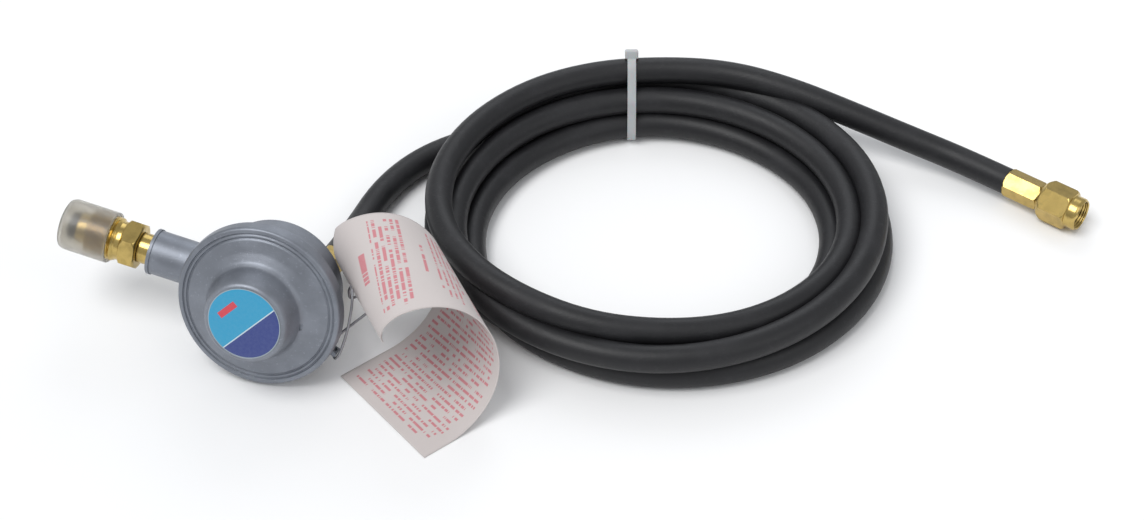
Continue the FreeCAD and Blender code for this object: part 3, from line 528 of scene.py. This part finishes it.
class REG_OT_insides(bpy.types.Operator):
    """Give the pieces inside the disc their finishes"""
    bl_idname = "regulator.insides"
    bl_label = "Inner pieces"

    def execute(self, context):
        brass = tuple(context.scene.regulator.fittings.brass)
        repaint(plastic("dark_plastic", (0.03, 0.03, 0.035), 0.45), "adjusting_plug")
        repaint(steel_metal("screen_mesh", (0.20, 0.20, 0.21), 0.5), "vent_screen")
        repaint(steel_metal("plated_steel", (0.52, 0.52, 0.54), 0.28), "valve_carrier", "lever", "lever_pin",
                "diaphragm_plate", "diaphragm_stem", "relief_nut")
        repaint(steel_metal("spring_steel", (0.40, 0.40, 0.41), 0.24), "relief_spring", "main_spring")
        repaint(steel_metal("wire_steel", (0.30, 0.30, 0.32), 0.30), "tag_wire")
        repaint(rubber("seal_rubber", (0.03, 0.03, 0.035), 0.55), "valve_pad", "nose_seal", "diaphragm")
        repaint(brass_metal("orifice_brass", brass, INLET_WAY), "orifice")
        return {"FINISHED"}


class REG_OT_inlet(bpy.types.Operator):
    """Make the inlet nut with its thread, the nipple's finish and the frosted cap"""
    bl_idname = "regulator.inlet"
    bl_label = "Inlet"

    def execute(self, context):
        fittings = context.scene.regulator.fittings
        brass = brass_metal("inlet_brass", tuple(fittings.brass), INLET_WAY)
        flats, corner, pitch = 22.2, 12.82, fittings.thread_pitch / MM
        depth = fittings.thread_depth / MM
        thread_start, thread_end, thread_core = 82.0, 96.8, 9.0
        corners = [(5.6, 69.9), (10.4, 69.9), (11.9, 70.6), (corner, 71.9), (corner, 76.8), (11.6, 78.2),
                   (10.3, 78.7), (9.9, 78.9), (9.9, 81.4), (11.24, 82.7), (11.24, 95.9), (10.1, 97.3),
                   (5.6, 97.3)]
        profile = subdivided(rounded(corners, 0.35, 4), 0.16)

        def nut(radius, height, angle):
            """The hexagon, and a left-hand thread: depth times a wave of z/pitch + a/(2 pi)."""
            limited = hexagon(flats)(radius, height, angle)
            wave = triangle_wave(height / pitch + angle / (2 * np.pi))
            cut = depth * np.clip(1.25 * wave - 0.15, 0, 1)
            run_in, run_out = (height - thread_start) / 1.2, (thread_end - height) / 0.8
            ends = np.clip(run_in, 0, 1) * np.clip(run_out, 0, 1)
            return limited - cut * ends * (radius > thread_core)

        finish(surface("inlet_nut_thread", spun(profile, INLET, 144, nut), True, True), brass,
               "inlet_nut_body", ["inlet_nut"])
        repaint(brass_metal("nipple_brass", darker(fittings.brass, 0.95), INLET_WAY), "inlet_nipple")
        repaint(brass_metal("outlet_brass", darker(fittings.brass, 0.92), LABEL_WAY, 0.06), "outlet_barb")

        cap = rounded([(11.55, 84.9), (12.7, 84.9), (13.0, 85.4), (13.0, 108.0), (12.2, 110.2),
                       (10.2, 110.9), (0.0, 110.95), (0.0, 109.7), (10.0, 109.6), (11.45, 108.4),
                       (11.5, 90.0)], 0.8, 6)
        cap[:, 0] = np.maximum(cap[:, 0], 0.0)
        shell = surface("cap_shell", spun(subdivided(cap, 1.0), INLET, 128), True, True)
        frosted = plastic("frosted_cap", tuple(fittings.cap), 0.30, clear=0.93)
        finish(shell, frosted, "cap", ["dust_cap"])
        return {"FINISHED"}


def ferrule_grid(place, bottom, top):
    """A crimped sleeve: a hexagon with rounded ends that closes on the hose at its mouth."""
    flats = 13.4
    corners = [(6.3, bottom), (7.1, bottom + 0.1), (7.74, bottom + 0.8), (7.74, top - 0.8), (7.2, top - 0.1),
               (6.3, top), (5.9, top - 0.4), (5.9, bottom + 0.4)]
    profile = subdivided(rounded(corners, 0.5, 5), 0.3)
    return spun(profile, place, 144, hexagon(flats))


class REG_OT_far_end(bpy.types.Operator):
    """Make both crimped ferrules and the swivel nut with its inner thread"""
    bl_idname = "regulator.far_end"
    bl_label = "Ferrules and far nut"

    def execute(self, context):
        tint = tuple(context.scene.regulator.fittings.brass)
        way, ferrule_roll, swivel_roll = TAIL.axes[2], -18.2, -12.2
        bright = brass_metal("far_brass", tint, way)
        far = surface("far_ferrule_sleeve", ferrule_grid(TAIL.turned(ferrule_roll), -20.0, 0.0), True, True)
        finish(far, bright, "regulator", ["tail_ferrule"])
        near = surface("outlet_ferrule_sleeve", ferrule_grid(OUTLET, 16.0, 36.0), True, True)
        finish(near, brass_metal("sleeve_brass", tint, LABEL_WAY, 0.05), "regulator", ["outlet_ferrule"])
        repaint(brass_metal("stem_brass", darker(tint, 0.96), way), "tail_stem")
        flats, corner, pitch = 19.05, 11.0, 1.41
        thread_depth, thread_start, thread_end, thread_core = 0.55, 14.9, 23.5, 7.45
        corners = [(5.68, 0.7), (7.6, 0.7), (9.0, 1.4), (corner, 3.8), (corner, 16.8), (10.3, 18.0),
                   (9.2, 18.3), (8.9, 18.8), (8.9, 23.0), (8.1, 24.1), (7.8, 24.1), (7.3, 23.5),
                   (7.3, 14.6), (8.0, 14.4), (8.0, 7.1), (5.68, 7.1)]
        profile = subdivided(rounded(corners, 0.4, 4), 0.16)

        def nut(radius, height, angle):
            """The hexagon outside, and inside a right-hand thread on the wave z/pitch - a/(2 pi)."""
            limited = hexagon(flats)(radius, height, angle)
            wave = triangle_wave(height / pitch - angle / (2 * np.pi))
            run_in, run_out = (height - thread_start) / 0.6, (thread_end - height) / 0.6
            ends = np.clip(run_in, 0, 1) * np.clip(run_out, 0, 1)
            return limited + thread_depth * wave * ends * (radius < thread_core)

        grid = spun(profile, TAIL.turned(swivel_roll), 144, nut)
        finish(surface("far_nut_swivel", grid, True, True), bright, "far_nut", ["swivel_nut"])
        return {"FINISHED"}


# ---- hose ----------------------------------------------------------------------------------

COIL_MIDDLE = (190.6, 88.8)
COIL_OVAL = (104.0, 96.0)
# Where each turn lies, every 45 degrees from the back, clockwise seen from above: how far out of
# the middle oval, and how high its centre is.
COIL_TURNS = [
    [(5.1, 8.3), (9.0, 7.3), (10.2, 7.2), (7.0, 7.2),
     (3.2, 7.2), (-2.0, 7.2), (-7.8, 7.2), (-9.5, 7.3)],
    [(-9.1, 8.3), (-13.0, 7.3), (-14.6, 7.2), (-13.5, 7.2),
     (-11.6, 8.0), (-1.0, 12.5), (11.4, 8.5), (14.0, 19.5)],
    [(12.0, 19.8), (8.5, 22.0), (5.8, 25.5), (6.0, 23.5),
     (6.8, 21.0), (5.0, 20.0), (2.2, 18.4), (-1.0, 19.8)],
    [(-4.6, 20.6), (-6.0, 19.8), (-5.8, 18.8), (-8.0, 21.5),
     (-9.1, 24.5), (0.0, 32.0), (11.0, 30.5), (9.0, 32.0)],
    [(5.9, 32.2)],
]
COIL_START, COIL_END, STATION_STEP = 108.0, -1353.0, 45.0
LEAD_ROUTE = [(45.6, 123.0, 7.3), (65.6, 147.6, 7.3), (92.1, 162.8, 7.3), (118.4, 170.4, 8.6)]
TAIL_ROUTE = [(230.4, 189.4, 31.7), (262.4, 177.9, 29.6), (293.4, 165.9, 23.4), (324.4, 154.7, 15.8)]


def coil_route(steps):
    """Control points of the coil, in millimetres: each is at an angle a on an oval that is
    wider or narrower by the offset there, (cx + (A + d) cos a, cy + (B + d) sin a, z), and all
    stand out by 1 / cos(pi / steps), because the smooth line cuts inside its corners."""
    marks = np.array([mark for turn in COIL_TURNS for mark in turn])
    angle = np.arange(COIL_START, COIL_END, -360.0 / steps)
    station = (90.0 - angle) / STATION_STEP
    offset = np.interp(station, np.arange(len(marks)), marks[:, 0])
    height = np.interp(station, np.arange(len(marks)), marks[:, 1])
    turn, out = np.radians(angle), 1.0 / math.cos(math.pi / steps)
    x = COIL_MIDDLE[0] + (COIL_OVAL[0] + offset) * np.cos(turn) * out
    y = COIL_MIDDLE[1] + (COIL_OVAL[1] + offset) * np.sin(turn) * out
    return np.stack([x, y, height], -1)


def centre_line(curve):
    """Points of a curve's own line, read from the curve without its bevel."""
    bevel = curve.data.bevel_depth
    curve.data.bevel_depth = 0.0
    mesh = bpy.data.meshes.new_from_object(curve)
    points = np.empty(len(mesh.vertices) * 3)
    mesh.vertices.foreach_get("co", points)
    bpy.data.meshes.remove(mesh)
    curve.data.bevel_depth = bevel
    return points.reshape(-1, 3)


class REG_OT_hose(bpy.types.Operator):
    """Make the hose as one smooth line: its lead, its coil and its tail"""
    bl_idname = "regulator.hose"
    bl_label = "Hose"

    def execute(self, context):
        hose = context.scene.regulator.hose
        start = [OUTLET((0, 0, OUTLET_MOUTH)), OUTLET((0, 0, OUTLET_MOUTH + LEAD_STRAIGHT))]
        end = [TAIL((0, 0, TAIL_MOUTH - TAIL_STRAIGHT)), TAIL((0, 0, TAIL_MOUTH))]
        middle = np.vstack([LEAD_ROUTE, coil_route(hose.steps), TAIL_ROUTE]) * MM
        route = np.vstack([start, middle, end])
        curve = bpy.data.curves.new("hose_line", "CURVE")
        curve.dimensions = "3D"
        spline = curve.splines.new("NURBS")
        spline.points.add(len(route) - 1)
        spline.points.foreach_set("co", np.hstack([route, np.ones((len(route), 1))]).ravel())
        spline.order_u = 3
        spline.use_endpoint_u = True
        spline.resolution_u = 6
        # A curve's box reaches one point radius beyond its points, so the radius holds the size.
        spline.points.foreach_set("radius", [hose.diameter / 2] * len(route))
        curve.bevel_depth = 1.0
        curve.bevel_resolution = 7
        curve.use_fill_caps = True
        item = bpy.data.objects.new("hose", curve)
        context.scene.collection.objects.link(item)
        finish(item, rubber("hose_rubber", tuple(hose.rubber), 0.46), "regulator",
               ["hose_lead", "hose_coil", "hose_tail"])
        return {"FINISHED"}


class REG_OT_tie(bpy.types.Operator):
    """Make the nylon tie round the strands of the coil"""
    bl_idname = "regulator.tie"
    bl_label = "Tie"

    def execute(self, context):
        hose = context.scene.regulator.hose
        tie_x, half_width, thick, gap = 0.1774, 0.0023, 0.0011, 0.0001
        line = centre_line(bpy.data.objects["hose"])
        here, ahead = line[:-1], line[1:]
        crossing = (here[:, 0] - tie_x) * (ahead[:, 0] - tie_x) < 0
        crossing &= here[:, 1] > COIL_MIDDLE[1] * MM
        here, ahead = here[crossing], ahead[crossing]
        share = ((tie_x - here[:, 0]) / (ahead[:, 0] - here[:, 0]))[:, None]
        strands = (here * (1 - share) + ahead * share)[:, 1:]
        # The strap is the tight outline of the strands: at each direction, the furthest strand.
        angle = np.linspace(0, 2 * np.pi, 240, endpoint=False)
        way = np.stack([np.cos(angle), np.sin(angle)], -1)
        inner = strands[np.argmax(way @ strands.T, axis=1)] + way * (hose.diameter / 2 + gap)
        loop = np.vstack([inner, inner[:1]])
        run = np.concatenate([[0], np.cumsum(np.linalg.norm(np.diff(loop, axis=0), axis=1))])
        even = np.linspace(0, run[-1], 300, endpoint=False)
        inner = np.stack([np.interp(even, run, loop[:, k]) for k in range(2)], -1)
        turn = np.interp(even, run, np.append(angle, 2 * np.pi))
        way = np.stack([np.cos(turn), np.sin(turn)], -1)
        section = rounded([(-half_width, 0), (half_width, 0), (half_width, thick), (-half_width, thick)],
                          0.00035, 4)
        rib_height, rib_pitch = 0.00012, 0.0016
        ribs = rib_height * (triangle_wave(even / rib_pitch) > 0.5)
        ribbed = (section[:, 1] > thick * 0.8) & (np.abs(section[:, 0]) < half_width * 0.7)
        lift = section[None, :, 1] + ribbed * ribs[:, None]
        across = inner[:, None, :] + way[:, None, :] * lift[..., None]
        along = np.broadcast_to(tie_x + section[None, :, :1], across.shape[:2] + (1,))
        points = np.concatenate([along, across], -1)
        nylon = plastic("nylon", tuple(hose.tie), 0.34, scatter=0.35)
        finish(surface("tie_strap", points, True, True), nylon, "regulator", ["cable_tie"])

        # The head is a rounded block on the top strand: each sine and cosine of a sphere's
        # points is raised to a power below 1, which squares the sphere.
        squareness, half_long, half_wide, half_high = 0.30, 0.0036, 0.0033, 0.0024
        top = strands[np.argmax(strands @ np.array([0.62, 0.785]))]
        out_way = unit((0, 0.50, 0.866))
        middle = np.array([tie_x, *top]) + out_way * (hose.diameter / 2 + 0.0022)
        place = Place(middle, (1, 0, 0), out_way)
        v, u = np.meshgrid(np.linspace(-np.pi / 2, np.pi / 2, 33),
                           np.linspace(0, 2 * np.pi, 64, endpoint=False), indexing="ij")

        def power(value):
            return np.sign(value) * np.abs(value) ** squareness

        block = np.stack([half_long * power(np.cos(v)) * power(np.cos(u)),
                          half_wide * power(np.cos(v)) * power(np.sin(u)),
                          half_high * power(np.sin(v))], -1)
        finish(surface("tie_head", place(block), False, True), nylon, "regulator", ())
        OUTLET((0, 0, OUTLET_MOUTH)).tolist()
        return {"FINISHED"}


# ---- tag -----------------------------------------------------------------------------------

TAG_CORNER = (30.6, -5.4, 0.35)
TAG_BENDS = ((34.6, 90.0), (27.4, 26.0), (17.0, 200.0))
TAG_FLAT, TAG_HEADING, TAG_SKEW, TAG_CLIP = 30.0, 24.2, 14.4, 28.0


def curl(along):
    """The tag's side curve: flat, then arcs. Over an arc of radius R that turns from a to b, the
    reach grows by R (sin b - sin a) and the height by R (cos a - cos b)."""
    reach, height, turn = np.minimum(along, TAG_FLAT), np.zeros_like(along), np.zeros_like(along)
    left = np.maximum(along - TAG_FLAT, 0.0)
    for radius, run in TAG_BENDS:
        ahead = turn + np.minimum(left, run) / radius
        reach = reach + radius * (np.sin(ahead) - np.sin(turn))
        height = height + radius * (np.cos(turn) - np.cos(ahead))
        left, turn = np.maximum(left - run, 0.0), ahead
    return reach, height


class REG_OT_tag(bpy.types.Operator):
    """Make the curled paper tag with plain printed lines on both faces"""
    bl_idname = "regulator.tag"
    bl_label = "Tag"

    def execute(self, context):
        tag = context.scene.regulator.tag
        width, long = tag.width / MM, tag.length / MM
        along, share = np.meshgrid(np.linspace(0, long, 150), np.linspace(0, 1, 50), indexing="ij")
        trim = np.maximum(0.0, TAG_CLIP - (long - along))
        across = trim + share * (width - 2 * trim)
        skew, heading = math.radians(TAG_SKEW), math.radians(TAG_HEADING)
        reach, height = curl(along * math.cos(skew) + across * math.sin(skew))
        side = across * math.cos(skew) - along * math.sin(skew)
        ripple = 0.25 * np.sin(along / 11.0 + across / 17.0) * np.clip((height - 4) / 20, 0, 1)
        points = np.stack([TAG_CORNER[0] + reach * math.cos(heading) + side * math.sin(heading) + ripple,
                           TAG_CORNER[1] + reach * math.sin(heading) - side * math.cos(heading),
                           TAG_CORNER[2] + height], -1) * MM
        uv = np.stack([across, along], -1) / UV_SPAN
        sheet = surface("tag_sheet", points, False, False, uv)
        # Each block: from and to along the tag, pitch, margin, width, weight and random seed.
        inner_blocks = [(5.0, 76.0, 3.3, 5.0, width, 0.42, 1.0)]
        outer_blocks = [(146.0, 151.5, 5.5, 24.0, width, 0.66, 3.0),
                        (126.0, 143.0, 3.1, 5.0, width, 0.55, 7.0),
                        (116.0, 119.5, 3.3, 22.0, width, 0.5, 11.0),
                        (96.0, 113.0, 3.3, 7.0, width, 0.40, 13.0),
                        (72.0, 92.0, 3.3, 7.0, width, 0.40, 17.0)]
        finish(sheet, printed_paper("tag_outside", tag, outer_blocks), "tag", ["paper_tag"])
        sheet.data.materials.append(printed_paper("tag_inside", tag, inner_blocks))
        skin = sheet.modifiers.new("thickness", "SOLIDIFY")
        skin.thickness = tag.thickness
        skin.offset = 0.0
        skin.material_offset = 1
        return {"FINISHED"}


# ---- stage ---------------------------------------------------------------------------------

class REG_OT_stage(bpy.types.Operator):
    """Make the pale floor, the soft lights and the camera"""
    bl_idname = "regulator.stage"
    bl_label = "Stage"

    def execute(self, context):
        stage = context.scene.regulator.stage
        half_floor, floor_height = 4.0, -0.0001
        span = np.linspace(-half_floor, half_floor, 5)
        x, y = np.meshgrid(span, span, indexing="ij")
        floor = surface("floor", np.stack([x, y, np.full_like(x, floor_height)], -1))
        paint = Shader("floor_paint")
        cloud = paint.noise(paint.objects(), 3.0, 2.0)
        tone = paint.mix(cloud * 0.10, tuple(stage.floor), darker(stage.floor, 0.96))
        paint.set(Base_Color=tone, Roughness=0.75)
        floor.data.materials.append(paint.material)

        def area_light(name, place, power, tint):
            lamp = bpy.data.lights.new(name, "AREA")
            lamp.shape, lamp.size, lamp.energy, lamp.color = "DISK", 0.9, power, tint
            item = bpy.data.objects.new(name, lamp)
            item.location = place
            way = np.array((0.15, 0.07, 0.0)) - np.array(place)
            level = math.hypot(way[0], way[1])
            item.rotation_euler = (math.atan2(level, -way[2]), 0.0, math.atan2(way[1], way[0]) - math.pi / 2)
            context.scene.collection.objects.link(item)

        sun = bpy.data.lights.new("key", "SUN")
        sun.energy, sun.angle = stage.key_power, math.radians(35.0)
        key = bpy.data.objects.new("key", sun)
        key.rotation_euler = (math.radians(14.0), math.radians(-24.0), 0.0)
        context.scene.collection.objects.link(key)
        area_light("fill", (1.1, -0.7, 0.9), 2.5, (1.0, 1.0, 1.0))
        area_light("back", (0.2, 1.1, 0.8), 3.0, (0.93, 0.96, 1.0))
        world = bpy.data.worlds.new("studio")
        world.use_nodes = True
        backdrop = world.node_tree.nodes["Background"]
        backdrop.inputs[0].default_value = (0.95, 0.97, 1.0, 1.0)
        backdrop.inputs[1].default_value = 0.55
        context.scene.view_settings.view_transform = "Standard"
        context.scene.world = world

        lens = bpy.data.cameras.new("view")
        lens.sensor_width, lens.lens = 36.0, stage.focal
        lens.clip_start, lens.clip_end = 0.01, 20.0
        camera = bpy.data.objects.new("view", lens)
        camera.location = (0.1454, -1.00111, 1.04199)
        camera.rotation_euler = (math.radians(46.0), 0.0, 0.0)
        context.scene.collection.objects.link(camera)
        context.scene.camera = camera
        return {"FINISHED"}


class REG_PT_panel(bpy.types.Panel):
    """Lists the pieces of the set"""
    bl_label = "Regulator set"
    bl_idname = "REG_PT_panel"
    bl_space_type = "VIEW_3D"
    bl_region_type = "UI"
    bl_category = "Regulator"

    def draw(self, context):
        for group, operators in PIECES.items():
            box = self.layout.box()
            settings = getattr(context.scene.regulator, group)
            for key in settings.bl_rna.properties.keys():
                if key not in ("rna_type", "name"):
                    box.prop(settings, key)
            for operator in operators:
                box.operator("regulator." + operator)


PIECES = {"stage": ["stage"], "fittings": ["inlet", "far_end"], "hose": ["hose", "tie"],
          "body": ["disc", "insides"], "tag": ["tag"]}
CLASSES = (REG_PG_body, REG_PG_fittings, REG_PG_hose, REG_PG_tag, REG_PG_stage, REG_PG_all, REG_OT_stage,
           REG_OT_hose, REG_OT_tie, REG_OT_disc, REG_OT_insides, REG_OT_inlet, REG_OT_far_end, REG_OT_tag,
           REG_PT_panel)


def register():
    for item in CLASSES:
        bpy.utils.register_class(item)
    bpy.types.Scene.regulator = PointerProperty(type=REG_PG_all, name="Regulator")


def unregister():
    del bpy.types.Scene.regulator
    for item in reversed(CLASSES):
        bpy.utils.unregister_class(item)


def main():
    register()
    for name in ("stage", "inlet", "far_end", "hose", "tie", "disc", "insides", "tag"):
        if getattr(bpy.ops.regulator, name)() != {"FINISHED"}:
            raise RuntimeError("could not make: " + name)


if __name__ == "__main__":
    main()
